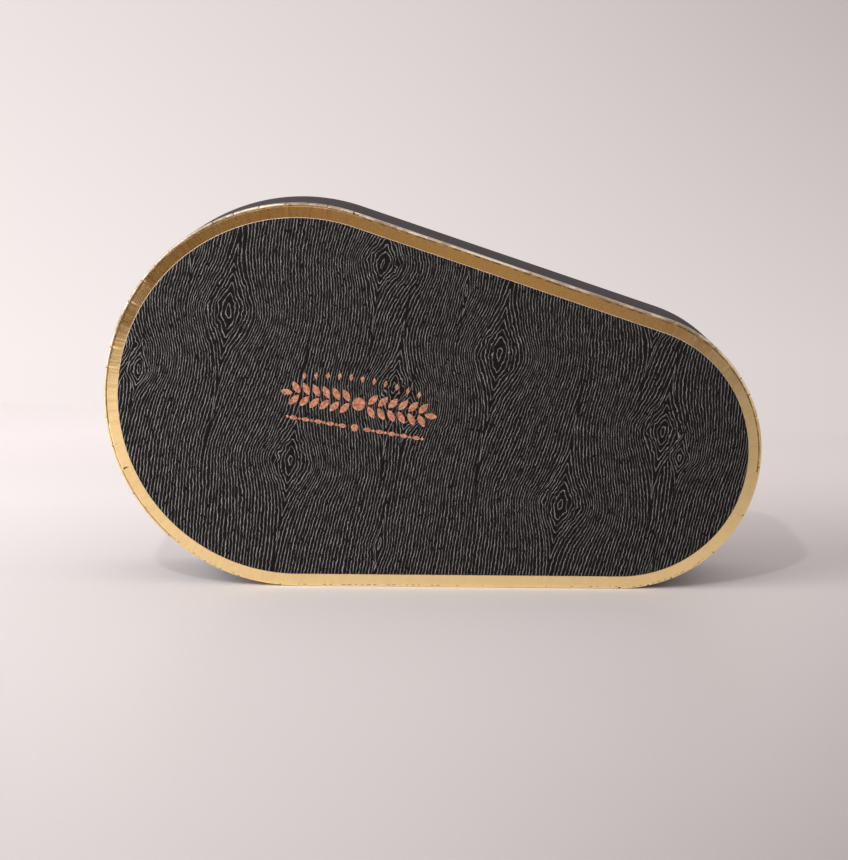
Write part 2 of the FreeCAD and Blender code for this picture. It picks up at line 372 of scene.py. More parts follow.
rubbed = rubbed.math("MINIMUM", 1.0) * RUBBED_MOST
wall_finish.give(**{"Base Color": wall_finish.blend(rubbed, paper_tone, RUBBED)})
wall_paper = sweep("lid_wall_wrap", [wall_finish], outline(WALL_STEP), wall_paper_section)
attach(wall_paper, "lid")
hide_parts("lid_wall_paper")

# Gold cover of the lid: mirror-foil paper over the whole top, folded over the edge and notched at the ends.
# The flaps between the notches pull unevenly, which leaves flat facets, fine creases and small open nicks.
GOLD_FRONT = -HALF_DEPTH + PANEL
BORDER = 4.8
UNDER_PANEL = 2.5
UNDER_PANEL_EDGE = 0.1
FOLD = 0.55
FOLD_STEPS = 6
FACE_INSETS = (3.9, 3.0, 2.1, 1.5)
FLAP_LEAST = 6.0
FLAP_MOST = 11.0
FLAP_LIFT = 0.06
FLAP_TWIST = 0.07
SMALL_END_PULL = 0.3
NICK_WIDTH = 0.7
NICK_LEAST = 0.5
NICK_DEPTH = 0.22
NICK_SHOWN = 0.3
NICK_WIDE_OPEN = 1.0
WIDE_GAP = 2.0
CUT_SOFT = 0.1
CUT_INSET = 0.08
CUT_SHORT = 0.02
INNER_CORNER = 0.1
CREASE_BESIDE = 0.36
CREASE_NEARER = 0.18
CREASE_WANDER = ((0.07, 31), (0.05, 11))
CREASE_DEPTH = 0.06
CREASE_FAINT = 0.1
CREASE_WIDE = 0.40
CREASE_MIDDLE = 0.26
CREASE_THIN = 0.07
CREASE_SIDE = 0.13
CREASE_LIP = 0.004
SPECK_LENGTHS = (0.37, 1.3, 17)
SPECK_LEVEL = 1.05
# where the outline's normal points up more than this, from 1 at the top to -1 at the standing side
WORN_ABOVE = -0.15
FOOT_ABOVE = -0.6
FOOT_BLEND = 0.3
THIN_ABOVE = -0.75
GOLD_STEP = 0.4
HAND_SEED = 41
hands = random.Random(HAND_SEED)

gold_stations = outline(GOLD_STEP)
part_ends = {}
for station in gold_stations:
    part_ends.setdefault(station[5], [station[4], station[4]])[1] = station[4]

flaps = []
for part, (start, end) in part_ends.items():
    notches = [start]
    if part.endswith("end"):
        while notches[-1] < end - FLAP_MOST:
            notches.append(notches[-1] + hands.uniform(FLAP_LEAST, FLAP_MOST))
    pull = SMALL_END_PULL if part == "small end" else 1.0
    for near, far in zip(notches, notches[1:] + [end]):
        lift = hands.uniform(-1, 1) * FLAP_LIFT * pull
        twist = hands.uniform(-1, 1) * FLAP_TWIST * pull
        if part == "big end" and near == start:
            gap = WIDE_GAP
        else:
            gap = NICK_WIDTH * hands.uniform(NICK_LEAST, 1.0)
        flaps.append((near, far, lift, twist, gap))


def flap_at(along):
    """The flap at this length, with its two ends, lift, twist and the gap at its start."""
    return next(flap for flap in reversed(flaps) if along >= flap[0])


def nick_at(along, part):
    """How open the cut between two flaps is at this station."""
    near, far, lift, twist, gap = flap_at(along)
    if not part.endswith("end"):
        return 0.0
    return max(0.0, 1 - (along - near) / gap) * gap / NICK_WIDTH


def crease_at(station):
    """Inset of the fine crease beside the fold, which wanders a little and runs closer in at the foot."""
    along = station[4]
    foot = min(1.0, max(0.0, (FOOT_ABOVE - station[3]) / FOOT_BLEND))
    wander = sum(size * math.sin(along / length) for size, length in CREASE_WANDER)
    return FOLD + CREASE_BESIDE + wander * (1 - foot) - CREASE_NEARER * foot


def crease_width(station):
    """Wide beside the worn fold, thin round the rest of the large end, and none at the standing side."""
    if station[3] > WORN_ABOVE:
        return CREASE_MIDDLE if station[5] == "big end" else CREASE_WIDE
    return CREASE_THIN if station[5] == "big end" and station[3] > THIN_ABOVE else 0.0


def specks_at(along):
    """Whether the foil is broken to a dark speck here, beside the fold of the standing side."""
    return sum(math.sin(along / length) for length in SPECK_LENGTHS) > SPECK_LEVEL


def gold_section(station):
    along, part = station[4], station[5]
    near, far, lift, twist, gap = flap_at(along)
    share = (along - near) / (far - near)
    bite = nick_at(along, part) * NICK_DEPTH
    if not part.endswith("end"):
        lift = twist = 0.0

    def face(inset):
        reach = max(0.0, 1 - inset / BORDER)
        return GOLD_FRONT + (lift + twist * (share - 0.5)) * reach

    crease = crease_at(station)
    width = crease_width(station)
    edge = face(FOLD)
    under = BORDER + UNDER_PANEL
    behind = GOLD_FRONT + FLANGE - CUT_SHORT
    section = [(under, GOLD_FRONT), (BORDER + UNDER_PANEL_EDGE, GOLD_FRONT)]
    section += [(inset, face(inset)) for inset in FACE_INSETS]
    section.append((crease + max(width, CREASE_THIN), edge))
    section.append((crease, edge + CREASE_DEPTH * (1 if width else CREASE_FAINT)))
    section.append((crease - CREASE_SIDE, edge + CREASE_LIP))
    for k in range(FOLD_STEPS + 1):
        turn = math.pi / 2 * k / FOLD_STEPS
        inset = FOLD * (1 - math.sin(turn)) + bite
        section.append((inset, edge + FOLD * (1 - math.cos(turn)) + bite))
    section.append((bite, GOLD_FRONT + FLANGE - CUT_SOFT))
    section.append((CUT_INSET, behind))
    section.append((PAPER, behind))
    section.append((PAPER, GOLD_FRONT + PAPER + INNER_CORNER))
    section.append((under, GOLD_FRONT + PAPER))
    return section


CREASE_STRIPS = (6, 7)
FOLD_STRIPS = range(8, 15)
CLEAN, CRACKED_AND_SHADED, WORN_AND_REFLECTED, SHADED_GAP = range(4)


def gold_pick(station, strip):
    """Which of the cover's finishes a strip of the section has at this station."""
    if strip in FOLD_STRIPS:
        nick = nick_at(station[4], station[5])
        # painted shade: a wide-open nick is given the near-black dark paper for the shadow in the gap
        if nick > NICK_WIDE_OPEN:
            return SHADED_GAP
        if nick > NICK_SHOWN:
            return CRACKED_AND_SHADED
        # the fold facing up takes the worn foil with its painted reflection
        return WORN_AND_REFLECTED if station[3] > WORN_ABOVE else CLEAN
    speckled = station[3] < THIN_ABOVE and specks_at(station[4])
    # the crease strips take the dark cracked foil, a painted shade along the crease, and also at the dark
    # specks
    return CRACKED_AND_SHADED if strip in CREASE_STRIPS and (crease_width(station) or speckled) else CLEAN


GOLD_WRINKLE_SHADE = (0.86, 0.58, 0.235, 1)
GOLD_DEEP = (0.97, 0.70, 0.335, 1)
GOLD_PALE = (1.0, 0.76, 0.38, 1)
GOLD_CONTRAST = (0.2, 0.7)
WRINKLE_SHADE_CONTRAST = (0.36, 0.52)
HAZE_WAVES = (0.5, 0.5, 0.5)
RIPPLE_WAVES = (0.07, 0.07, 0.07)
RIPPLE_RELIEF = 0.06
WRINKLE_WAVES = 0.8
WRINKLE_DRIFT = 0.05
WRINKLE_RELIEF = 0.010
FOIL_ROUGH = 0.11
HAZE_ROUGH = 0.03
BIG_END_FROM = (-50, -20)
SMALL_END_FROM = (70, 88)
SMALL_END_WRINKLES = 0.4
LOW_WRINKLES = 0.25
WRINKLED_FROM = (45, 85)
gold_foil = Finish("gold_foil", Metallic=1.0)
x, y, z = gold_foil.place()
haze = gold_foil.mottle(HAZE_WAVES, detail=4.0, rough=0.6)
ripple = gold_foil.mottle(RIPPLE_WAVES, detail=1.0)
# fine wrinkles across the border round both ends, where the paper is pulled over the edge
big_turn = (z - BIG_RADIUS).math("ARCTAN2", x - BIG_X) * BIG_RADIUS
small_turn = (z - SMALL_RADIUS).math("ARCTAN2", x - SMALL_X) * SMALL_RADIUS
turn = big_turn + x.math("GREATER_THAN", 0.0) * (small_turn - big_turn)
bent = 1 - x.above(*BIG_END_FROM) + x.above(*SMALL_END_FROM) * SMALL_END_WRINKLES
bent = bent * (LOW_WRINKLES + z.above(*WRINKLED_FROM) * (1 - LOW_WRINKLES))
wrinkle = gold_foil.cloud(turn * WRINKLE_WAVES, x * WRINKLE_DRIFT, z * WRINKLE_DRIFT, detail=2.0, rough=0.6)
# painted shade: the wrinkle valleys are painted a darker gold, mostly round the large end and higher up
streak = (1 - wrinkle.above(*WRINKLE_SHADE_CONTRAST)) * bent
clean = gold_foil.blend(haze.above(*GOLD_CONTRAST), GOLD_DEEP, GOLD_PALE)
gold_foil.give(
    **{
        "Base Color": gold_foil.blend(streak, clean, GOLD_WRINKLE_SHADE),
        "Roughness": FOIL_ROUGH + haze * HAZE_ROUGH,
    }
)
gold_foil.relief(ripple * RIPPLE_RELIEF + wrinkle * bent * WRINKLE_RELIEF)

WORN_AND_REFLECTED_DARK = (0.29, 0.215, 0.14, 1)
WORN_AND_HIGHLIGHT_PALE = (0.72, 0.62, 0.48, 1)
WORN_CONTRAST = (0.40, 0.62)
RUB_WAVES = (0.3, 0.3, 0.3)
RUB_SHARE = 0.4
RUB_ROUGH = 0.2
RUB_RELIEF = 0.03
HANDLED_AND_HIGHLIGHT_WAVES = (0.045, 0.045, 0.045)
WORN_ROUGH = 0.42
KEPT_SHEEN = 0.25
KEPT_BELOW = (45, 95)
# partly real wear and partly painted reflection: the dark and pale patches of the upward fold are painted
# dark surroundings and white highlights mirrored in the bent foil, and lower down the plain gold stays
worn_and_reflected_foil = Finish("worn_and_reflected_foil", Metallic=0.9)
x, y, z = worn_and_reflected_foil.place()
rub = worn_and_reflected_foil.mottle(RUB_WAVES, detail=4.0, rough=0.65)
handled_and_highlight = worn_and_reflected_foil.mottle(HANDLED_AND_HIGHLIGHT_WAVES, detail=1.0)
bare = (rub * RUB_SHARE + handled_and_highlight * (1 - RUB_SHARE)).above(*WORN_CONTRAST)
rubbed = worn_and_reflected_foil.blend(bare, WORN_AND_REFLECTED_DARK, WORN_AND_HIGHLIGHT_PALE)
kept = 1 - z.above(*KEPT_BELOW)
worn_and_reflected_foil.give(
    **{
        "Base Color": worn_and_reflected_foil.blend(kept, rubbed, GOLD_DEEP),
        "Roughness": WORN_ROUGH + rub * RUB_ROUGH - kept * KEPT_SHEEN,
    }
)
worn_and_reflected_foil.relief(rub * RUB_RELIEF)

CRACK_AND_SHADE_DARK = (0.085, 0.055, 0.026, 1)
CRACK_GOLD = (0.30, 0.185, 0.075, 1)
CRACK_CONTRAST = (0.40, 0.62)
CRACK_WAVES = (0.35, 0.35, 0.35)
CRACK_RELIEF = 0.05
# partly real cracking and partly painted shade: the fine crease beside the fold and the part-open nicks are
# painted dark
cracked_and_shaded_foil = Finish("cracked_and_shaded_foil", Metallic=0.5, Roughness=0.5)
crack = cracked_and_shaded_foil.mottle(CRACK_WAVES, detail=4.0, rough=0.7)
crack_tone = cracked_and_shaded_foil.blend(crack.above(*CRACK_CONTRAST), CRACK_AND_SHADE_DARK, CRACK_GOLD)
cracked_and_shaded_foil.give(**{"Base Color": crack_tone})
cracked_and_shaded_foil.relief(crack * CRACK_RELIEF)
# in the order of CLEAN, CRACKED_AND_SHADED, WORN_AND_REFLECTED and SHADED_GAP
gold_finishes = [gold_foil, cracked_and_shaded_foil, worn_and_reflected_foil, dark_paper]
gold_cover = sweep("lid_gold_wrap", gold_finishes, gold_stations, gold_section, True, gold_pick)
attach(gold_cover, "lid")
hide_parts("lid_gold_cover")

# Face panel of the lid: stiff card under a black paper printed and embossed as cut wood, glued on the gold.
# The grain runs across the outline's own axis and parts round tall pointed knots, and the print repeats.
PANEL_SUNK = 0.05
PANEL_FRONT = -HALF_DEPTH + PANEL_SUNK
PANEL_SLIP = (0.1, -0.3)
PANEL_MIDDLE = 3.0
# inset and depth round the pressed cut edge
PANEL_EDGE = [(0.30, 0.0), (0.20, 0.02), (0.04, 0.14), (0.0, 0.22)]
CUT_STRIPS = (2, 3, 4)
PAPERED, CUT_CARD = range(2)
PANEL_STEP = 1.0


def panel_section(station):
    edge = BORDER - station[2] * PANEL_SLIP[0] - station[3] * PANEL_SLIP[1]
    section = [(edge + PANEL_MIDDLE, PANEL_FRONT)]
    section += [(edge + inset, PANEL_FRONT + depth) for inset, depth in PANEL_EDGE]
    section.append((edge, GOLD_FRONT))
    section.append((edge + PANEL_MIDDLE, GOLD_FRONT))
    return section


def panel_pick(station, strip):
    return CUT_CARD if strip in CUT_STRIPS else PAPERED


CORE_DEEP = (0.28, 0.21, 0.14, 1)
CORE_PALE = (0.46, 0.37, 0.27, 1)
FUZZ_WAVES = (1.5, 1.5, 1.5)
FUZZ_CONTRAST = (0.35, 0.65)
FUZZ_RELIEF = 0.03
card_core = Finish("card_core", Roughness=0.8)
fuzz = card_core.mottle(FUZZ_WAVES, detail=4.0, rough=0.7)
card_core.give(**{"Base Color": card_core.blend(fuzz.above(*FUZZ_CONTRAST), CORE_DEEP, CORE_PALE)})
card_core.relief(fuzz * FUZZ_RELIEF)

GROUND = (0.0050, 0.0044, 0.0045, 1)
LINE_DIM = (0.069, 0.063, 0.062, 1)
LINE_BRIGHT = (0.262, 0.244, 0.240, 1)
LINE_PITCH = 1.22
LINE_WIDTH = 0.25
LINE_LEAST = 0.25
LINE_SWELL = 0.50
LINE_SOFT = 0.09
LINE_BREAKS = (0.31, 0.40)
LINE_RELIEF = 0.04
SHINE_CONTRAST = (0.28, 0.72)
INK = 0.86
PAINTED_LIGHT_FALL = 0.0014
# how far the lines stray, then the lengths of those and other waves along and across the axis
DRIFT = 3.6
WANDER = 1.4
TREMBLE = 0.8
SAG = 3.0
DRIFT_LENGTHS = (26, 60)
WANDER_LENGTHS = (6, 13)
TREMBLE_LENGTHS = (1.4, 1.6)
SAG_LENGTHS = (7, 7)
WOBBLE_LENGTHS = (2.4, 3.4)
BEAD_LENGTHS = (0.7, 1.3)
BREAK_LENGTHS = (1.3, 2.4)
SHINE_LENGTHS = (1.6, 4.0)
RING_START = 0.7
RING_SPREAD_LEAST = 0.3
KNOT_CORE = 0.09
KNOT_CORE_LEAST = 0.05
TAIL_END = 0.04
PUSH_SPREAD = 0.5
PUSH_FADE = 2.5
REPEAT = (99.4, 0.6)
REPEATS = (-2, -1, 0, 1)
FACE_FROM = -75
FACE_TO = 160
# along and across the axis from the large end's centre, half width, length of tails, unrest of rings
KNOTS = [
    (-29.6, 26.8, 9.4, 13.5, 2.6),
    (23.5, 53.0, 7.4, 9.0, 3.4),
    (1.5, -23.5, 8.6, 11.5, 2.6),
    (133.0, 9.5, 7.4, 9.0, 3.4),
    (140.0, 1.5, 4.4, 5.0, 2.2),
    (54.0, 48.0, 2.0, 6.0, 0.5),
    (38.0, -49.0, 2.0, 6.0, 0.5),
]
wood_paper = Finish("wood_grain_paper", Roughness=0.66, Specular_IOR_Level=0.075)
x, y, z = wood_paper.place()
right = x - BIG_X
up = z - BIG_RADIUS
along = right * math.cos(TILT) - up * math.sin(TILT)
across = right * math.sin(TILT) + up * math.cos(TILT)


def veil(lengths, layer, detail=1.0):
    """Noise from 0 to 1 over the face, with waves of these lengths, in a layer of its own."""
    return wood_paper.cloud(along / lengths[0], across / lengths[1], layer, detail=detail)


drift = veil(DRIFT_LENGTHS, layer=3.0) - 0.5
wander = veil(WANDER_LENGTHS, layer=8.0) - 0.5
tremble = veil(TREMBLE_LENGTHS, layer=15.0, detail=1.5) - 0.5
sag = veil(SAG_LENGTHS, layer=21.0) - 0.5
wobble = veil(WOBBLE_LENGTHS, layer=26.0) - 0.5
grain = along + drift * DRIFT + wander * WANDER + tremble * TREMBLE
height = across + sag * SAG
parted = grain
rings = []
for knot_along, knot_across, half_width, tail, unrest in KNOTS:
    for copy in REPEATS:
        centre = round((knot_along + copy * REPEAT[0]) / LINE_PITCH) * LINE_PITCH
        level = knot_across + copy * REPEAT[1]
        if not FACE_FROM < centre < FACE_TO:
            continue
        rise = height - level
        aside = grain - centre
        flank = abs(aside)
        # half width of the knot at this height, with long thin tails above and below
        swell = half_width * (1 + TAIL_END)
        reach = swell / (rise * rise / tail**2 + 1) - half_width * TAIL_END
        reach = reach.math("MAXIMUM", 0.0)
        # lines beside the knot give way to it, less and in a longer curve farther off
        outside = (flank - reach).math("MAXIMUM", 0.0)
        calm = outside * PUSH_SPREAD + tail
        bulge = swell / (rise * rise / (calm * calm) + 1) - half_width * TAIL_END
        push = bulge.math("MAXIMUM", 0.0) * (outside * (-1 / (PUSH_FADE * half_width))).math("EXPONENT")
        parted = parted - aside.math("SIGN") * push
        # rings inside it, the innermost a small closed one
        core = reach * reach * (KNOT_CORE / half_width) + KNOT_CORE_LEAST
        beside = (aside * aside + core * core).math("SQRT")
        room = half_width * (1 - KNOT_CORE) - KNOT_CORE_LEAST
        ring_count = round(room / LINE_PITCH - RING_START) + RING_START
        closeness = ring_count * LINE_PITCH / room
        uneven = wobble * flank * (reach - flank) * (4 * unrest / half_width**2)
        ring = centre - (reach - beside) * closeness + uneven
        slope = reach * reach * rise * (2 / (half_width * tail**2))
        spread = (aside * aside / (beside * beside) + slope * slope).math("SQRT") * closeness
        inside = (reach - flank).math("GREATER_THAN", 0.0)
        rings.append((inside, ring, spread.math("MAXIMUM", RING_SPREAD_LEAST)))
spacing = 1.0
for inside, ring, spread in rings:
    parted = parted + inside * (ring - parted)
    spacing = spacing + inside * (spread - spacing)
wave = (parted / LINE_PITCH).math("FRACT")
off_line = abs(wave - 0.5) * LINE_PITCH / spacing
beads = veil(BEAD_LENGTHS, layer=30.0)
breaks = veil(BREAK_LENGTHS, layer=37.0, detail=2.0)
shine = veil(SHINE_LENGTHS, layer=44.0, detail=2.0)
half_line = LINE_WIDTH * (LINE_LEAST + beads * LINE_SWELL)
line = 1 - (off_line - half_line).above(-LINE_SOFT, LINE_SOFT)
line = line * breaks.above(*LINE_BREAKS)
line_tone = wood_paper.blend(shine.above(*SHINE_CONTRAST), LINE_DIM, LINE_BRIGHT)
# painted light falloff: the grain lines are painted dimmer toward the right, for light that falls off
# across the face
ink_and_light_fall = INK - PAINTED_LIGHT_FALL * x
wood_paper.give(**{"Base Color": wood_paper.blend(line * ink_and_light_fall, GROUND, line_tone)})
wood_paper.relief(line * LINE_RELIEF)
# in the order of PAPERED and CUT_CARD
panel_finishes = [wood_paper, card_core]
panel_stations = outline(PANEL_STEP)
face_panel = sweep("lid_face_panel", panel_finishes, panel_stations, panel_section, True, panel_pick)
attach(face_panel, "lid")
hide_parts("lid_grain_panel")

# Foil ornament on the face: a leaf garland between a row of lozenges and a chain, hot-stamped in copper.
# A plain traditional device, pressed on along the outline's axis, a few hundredths of a millimetre proud.
STAMP_ALONG = 22.5
STAMP_SUNK = 0.005
STAMP_PROUD = 0.035
STAMP_SOFT = 0.02
STAMP_TAPER = 0.86
STAMP_BACK = PANEL_FRONT + STAMP_SUNK
STAMP_FRONT = PANEL_FRONT - STAMP_PROUD
COPPER_DEEP = (0.46, 0.175, 0.095, 1)
COPPER_PALE = (0.90, 0.46, 0.30, 1)
COPPER_CONTRAST = (0.36, 0.64)
COPPER_ROUGH = 0.30
PRESS_WAVES = (0.9, 0.9, 0.9)
PRESS_ROUGH = 0.20
PRESS_RELIEF = 0.05
copper_foil = Finish("copper_foil", Metallic=1.0)
press = copper_foil.mottle(PRESS_WAVES, detail=4.0, rough=0.65)
copper_foil.give(
    **{
        "Base Color": copper_foil.blend(press.above(*COPPER_CONTRAST), COPPER_DEEP, COPPER_PALE),
        "Roughness": COPPER_ROUGH + press * PRESS_ROUGH,
    }
)
copper_foil.relief(press * PRESS_RELIEF)


def stamp(shapes, name):
    """Flat foil shapes with softened edges, each a convex outline along and across the axis."""
    points = []
    faces = []
    layers = ((STAMP_TAPER, STAMP_FRONT), (1.0, STAMP_FRONT + STAMP_SOFT), (1.0, STAMP_BACK))
    for shape in shapes:
        turn = sum(a[0] * b[1] - a[1] * b[0] for a, b in zip(shape, shape[1:] + shape[:1]))
        if turn < 0:
            shape = shape[::-1]
        middle = Vector((sum(p[0] for p in shape), sum(p[1] for p in shape))) / len(shape)
        first = len(points)
        for shrink, depth in layers:
            for p in shape:
                u, v = middle + (Vector(p) - middle) * shrink
                u += STAMP_ALONG
                x = BIG_X + u * math.cos(TILT) + v * math.sin(TILT)
                z = BIG_RADIUS - u * math.sin(TILT) + v * math.cos(TILT)
                points.append((x * MM, depth * MM, z * MM))
        n = len(shape)
        faces.append(list(range(first, first + n)))
        for row in (0, 1):
            for k in range(n):
                low = first + row * n
                faces.append((low + k, low + n + k, low + n + (k + 1) % n, low + (k + 1) % n))
        faces.append(list(reversed(range(first + 2 * n, first + 3 * n))))
    mesh = bpy.data.meshes.new(name)
    mesh.from_pydata(points, [], faces)
    mesh.materials.append(copper_foil.material)
    piece = bpy.data.objects.new(name, mesh)
    bpy.context.scene.collection.objects.link(piece)
    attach(piece, "lid")


BEAD_SIDES = 14
LEAF_STEPS = 8
LEAF_FULLNESS = 0.8


def bead(u, v, radius):
    turns = [math.tau * k / BEAD_SIDES for k in range(BEAD_SIDES)]
    return [(u + radius * math.cos(turn), v + radius * math.sin(turn)) for turn in turns]


def leaf(u, v, length, width, turn):
    """A pointed leaf from its foot at (u, v)."""
    edge = []
    for k in range(LEAF_STEPS + 1):
        t = k / LEAF_STEPS
        edge.append((t * length, width / 2 * math.sin(math.pi * t) ** LEAF_FULLNESS))
    edge += [(s, -w) for s, w in reversed(edge[1:-1])]
    c = math.cos(turn)
    s = math.sin(turn)
    return [(u + a * c - b * s, v + a * s + b * c) for a, b in edge]


GARLAND_HALF = 28.8
GARLAND_LEVEL = 1.2
ROSETTE = 2.4
LEAF_PAIRS = 6
FIRST_LEAF = 3.4
LEAF_PITCH = 3.7
LEAF_TURN = 0.95
LEAF_LONG = 5.0
LEAF_WIDE = 2.3
STEM_HALF = 0.25
END_LEAF_LONG = 4.6
END_LEAF_WIDE = 2.2
garland = [bead(0, GARLAND_LEVEL, ROSETTE)]
for side in (-1, 1):
    for pair in range(LEAF_PAIRS):
        foot = side * (FIRST_LEAF + pair * LEAF_PITCH)
        for turn in (LEAF_TURN, -LEAF_TURN):
            bearing = turn if side > 0 else math.pi - turn
            level = GARLAND_LEVEL + STEM_HALF * math.copysign(1, turn)
            garland.append(leaf(foot, level, LEAF_LONG, LEAF_WIDE, bearing))
    foot = side * (GARLAND_HALF - END_LEAF_LONG)
    bearing = 0.0 if side > 0 else math.pi
    garland.append(leaf(foot, GARLAND_LEVEL, END_LEAF_LONG, END_LEAF_WIDE, bearing))
stamp(garland, "copper_garland")

LOZENGES = 11
LOZENGE_ROW_HALF = 21.0
LOZENGE_LEVEL = 8.0
LOZENGE_ARCH = 2.4
LOZENGE_CORNERS = ((0.75, 0.0), (0.0, 1.35), (-0.75, 0.0), (0.0, -1.35))
lozenges = []
for k in range(LOZENGES):
    share = k / (LOZENGES - 1) * 2 - 1
    level = LOZENGE_LEVEL + LOZENGE_ARCH * (1 - share * share)
    lozenges.append([(LOZENGE_ROW_HALF * share + a, level + b) for a, b in LOZENGE_CORNERS])
stamp(lozenges, "copper_arched_lozenges")

CHAIN_LEVEL = -7.6
CHAIN_MIDDLE = 1.35
CHAIN_LINKS = 5
CHAIN_FIRST = 3.0
CHAIN_PITCH = 4.5
LINK_LONG = 3.1
LINK_WIDE = 1.5
LINK_BEAD_AT = 3.8
LINK_BEAD = 0.5
chain = [bead(0.0, CHAIN_LEVEL, CHAIN_MIDDLE)]
for side in (-1, 1):
    for k in range(CHAIN_LINKS):
        start = CHAIN_FIRST + k * CHAIN_PITCH
        chain.append(leaf(side * start, CHAIN_LEVEL, side * LINK_LONG, LINK_WIDE, 0.0))
        chain.append(bead(side * (start + LINK_BEAD_AT), CHAIN_LEVEL, LINK_BEAD))
stamp(chain, "copper_lower_chain")

# Floor of the studio: a wide sheet of pale paper, its back edge a little askew to the camera.
# Its colour carries painted light: graded paler to the back and the left, with painted pools of light at
# the left, painted shade along the front edge and in a band at the back, all of which the gold border
# mirrors.
FLOOR_FRONT = -0.85
FLOOR_BACK = 0.407
FLOOR_BACK_SKEW = 0.174
FLOOR_HALF = 1.3
FLOOR_TINT = (1.0, 0.95, 0.948)
FLOOR_PALE = 0.645
FLOOR_LEAST = 0.14
FLOOR_MOST = 0.9
VIEW_FROM = 900
SIDEWAYS_MOST = 0.2
SIDE_FALL = 0.765
SIDE_FALL_RISE = 0.0004
SIDE_FALL_FROM = -200.0
EDGE_FALL = 2.0
EDGE_FALL_UNTIL = (-20, 300)
BACK_RISE = 0.00098
BACK_RISE_FROM = -340.0
NEAR_LEFT = 0.05
NEAR_LEFT_FROM = (-680, -580)
NEAR_LEFT_UNTIL = (-430, -310)
NEAR_LEFT_SIDE = (-60, 60)
FAR_LEFT = 0.15
FAR_LEFT_SIDE = (-150, -120)
FAR_LEFT_UNTIL = (-260, -170)
NEAR_EDGE = 0.30
NEAR_EDGE_UNTIL = (-900, -450)
BACK_BAND = 0.09
BACK_BAND_FROM = (140, 240)
BACK_BAND_UNTIL = (300, 430)
BACK_BAND_MIDDLE = 0.5
BACK_BAND_SIDE = 2.5
BACK_DIM = 0.04
BACK_DIM_RIGHT = 0.25
BACK_DIM_FROM = (200, 360)
SHEET_WAVES = (0.01, 0.01, 0.01)
SHEET_UNEVEN = 0.012
floor_paper = Finish("floor_paper", Roughness=0.5)
x, y, z = floor_paper.place()
# painted light falloff: the floor's colour falls off to the sides and toward the front edge, and rises to
# the back
sideways = (x / (y + VIEW_FROM)).within(-SIDEWAYS_MOST, SIDEWAYS_MOST)
painted_side_fall = SIDE_FALL + SIDE_FALL_RISE * y.math("MAXIMUM", SIDE_FALL_FROM)
painted_edge_fall = EDGE_FALL * (1 - y.above(*EDGE_FALL_UNTIL))
painted_light_grade = 1 + BACK_RISE * y.math("MAXIMUM", BACK_RISE_FROM) - painted_side_fall * sideways - painted_edge_fall * sideways * sideways
# painted pools of light at the left, and painted shade at the front edge and in a band at the back
painted_pool_near_left = (1 - y.above(*NEAR_LEFT_UNTIL)) * y.above(*NEAR_LEFT_FROM) * (1 - x.above(*NEAR_LEFT_SIDE))
painted_pool_far_left = (1 - x.above(*FAR_LEFT_SIDE)) * (1 - y.above(*FAR_LEFT_UNTIL))
painted_shade_front_edge = 1 - y.above(*NEAR_EDGE_UNTIL)
painted_shade_back_band = y.above(*BACK_BAND_FROM) * (1 - y.above(*BACK_BAND_UNTIL))
painted_shade_back_band = painted_shade_back_band * (BACK_BAND_MIDDLE - BACK_BAND_SIDE * sideways)
painted_light_grade = painted_light_grade + NEAR_LEFT * painted_pool_near_left + FAR_LEFT * painted_pool_far_left - NEAR_EDGE * painted_shade_front_edge - BACK_BAND * painted_shade_back_band
# painted shade toward the back, more of it at the right
painted_light_grade = FLOOR_PALE * painted_light_grade * (1 - y.above(*BACK_DIM_FROM) * (BACK_DIM + BACK_DIM_RIGHT * sideways))
sheet = floor_paper.mottle(SHEET_WAVES, detail=3.0)
painted_light_grade = (painted_light_grade + (sheet - 0.5) * SHEET_UNEVEN).within(FLOOR_LEAST, FLOOR_MOST)
floor_tone = floor_paper.node("ShaderNodeCombineXYZ", {}, [painted_light_grade * share for share in FLOOR_TINT])
floor_paper.give(**{"Base Color": floor_tone})


def stage_sheet(name, corners, finish):
    """One flat face of the studio."""
    mesh = bpy.data.meshes.new(name)
    mesh.from_pydata(corners, [], [(0, 1, 2, 3)])
    mesh.materials.append(finish.material)
    flat = bpy.data.objects.new(name, mesh)
    bpy.context.scene.collection.objects.link(flat)
    return flat


floor = stage_sheet(
    "floor",
    [
        (-FLOOR_HALF, FLOOR_FRONT, 0),
        (FLOOR_HALF, FLOOR_FRONT, 0),
        (FLOOR_HALF, FLOOR_BACK - FLOOR_BACK_SKEW * FLOOR_HALF, 0),
        (-FLOOR_HALF, FLOOR_BACK + FLOOR_BACK_SKEW * FLOOR_HALF, 0),
    ],
    floor_paper,
)

# Dim brown card of the studio, behind the camera, which the gold border mirrors in its upper half.
# It glows faintly, palest in the middle, and neither shows to the camera nor throws a shadow.
DIM_DEEP = (0.105, 0.055, 0.024, 1)
DIM_PALE = (0.31, 0.20, 0.108, 1)
DIM_LEAN = 0.3
DIM_RISE = (-420, 120)
DIM_FALL = (100, 330)
DIM_FALL_MOST = 0.70
DIM_HALF = 2.0
DIM_AT = -1.4
DIM_LOW = -0.9
DIM_HIGH = 0.30
dim_card = Finish("dim_card", Roughness=0.9)
x, y, z = dim_card.place()
lean = x + z * DIM_LEAN
lit = lean.above(*DIM_RISE) * (1 - lean.above(*DIM_FALL) * DIM_FALL_MOST)
dim_card.give(
    **{
        "Base Color": (0.0, 0.0, 0.0, 1),
        "Emission Color": dim_card.blend(lit, DIM_DEEP, DIM_PALE),
        "Emission Strength": 1.0,
    }
)
